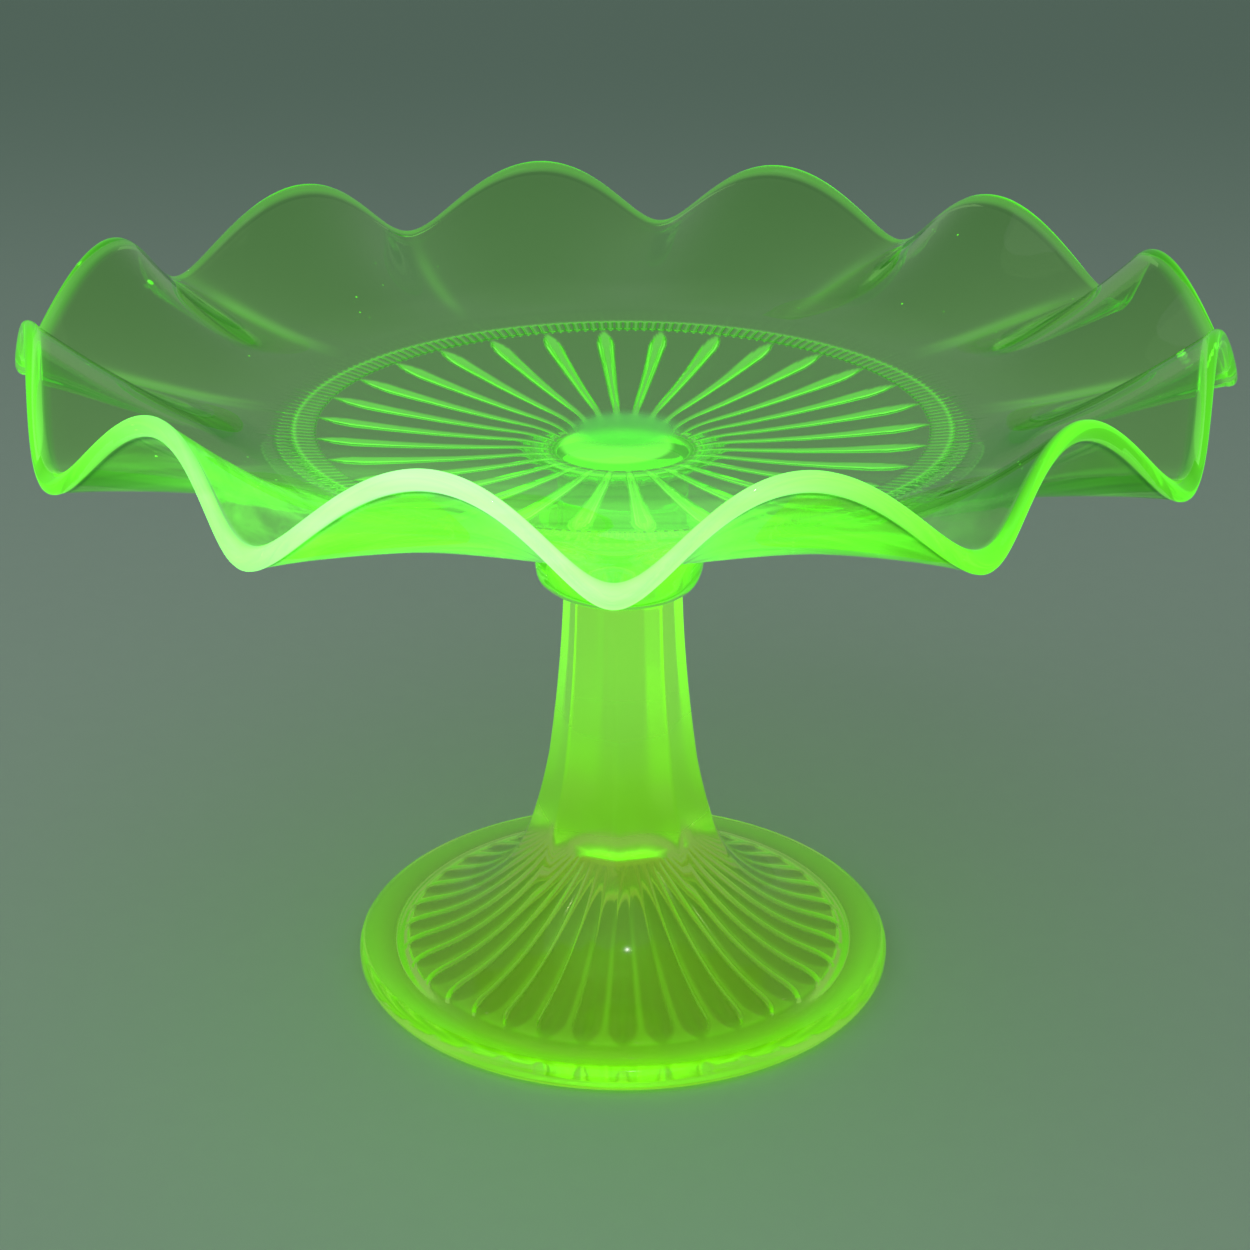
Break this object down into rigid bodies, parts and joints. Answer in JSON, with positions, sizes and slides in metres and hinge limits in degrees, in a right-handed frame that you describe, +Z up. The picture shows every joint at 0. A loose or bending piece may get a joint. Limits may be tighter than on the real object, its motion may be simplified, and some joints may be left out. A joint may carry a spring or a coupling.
{
  "type": "footed glass comport",
  "caption": "Footed comport of pressed green glass: a wide shallow bowl with a ruffled rim and ribbed floor, on a flared panelled stem with a round hollow foot, for serving or display.",
  "frame": {"origin": "middle of the foot, on the surface that the comport stands on", "axes": "+Z up along the stem, +X to the right and +Y to the back as seen from the front"},
  "size_m": [0.2274, 0.2274, 0.1399],
  "materials": {
    "bowl_glass": "clear pressed uranium glass, fire polished, glowing bright green under ultraviolet light",
    "wafer_glass": "clear uranium glass, tooled hot, slightly uneven edge",
    "pedestal_glass": "clear pressed uranium glass, thick at the foot's rim, glowing yellow-green under ultraviolet light"
  },
  "bodies": {
    "root": {"bowl": "bowl_glass", "joining_wafer": "wafer_glass", "pedestal": "pedestal_glass"}
  },
  "joints": []
}
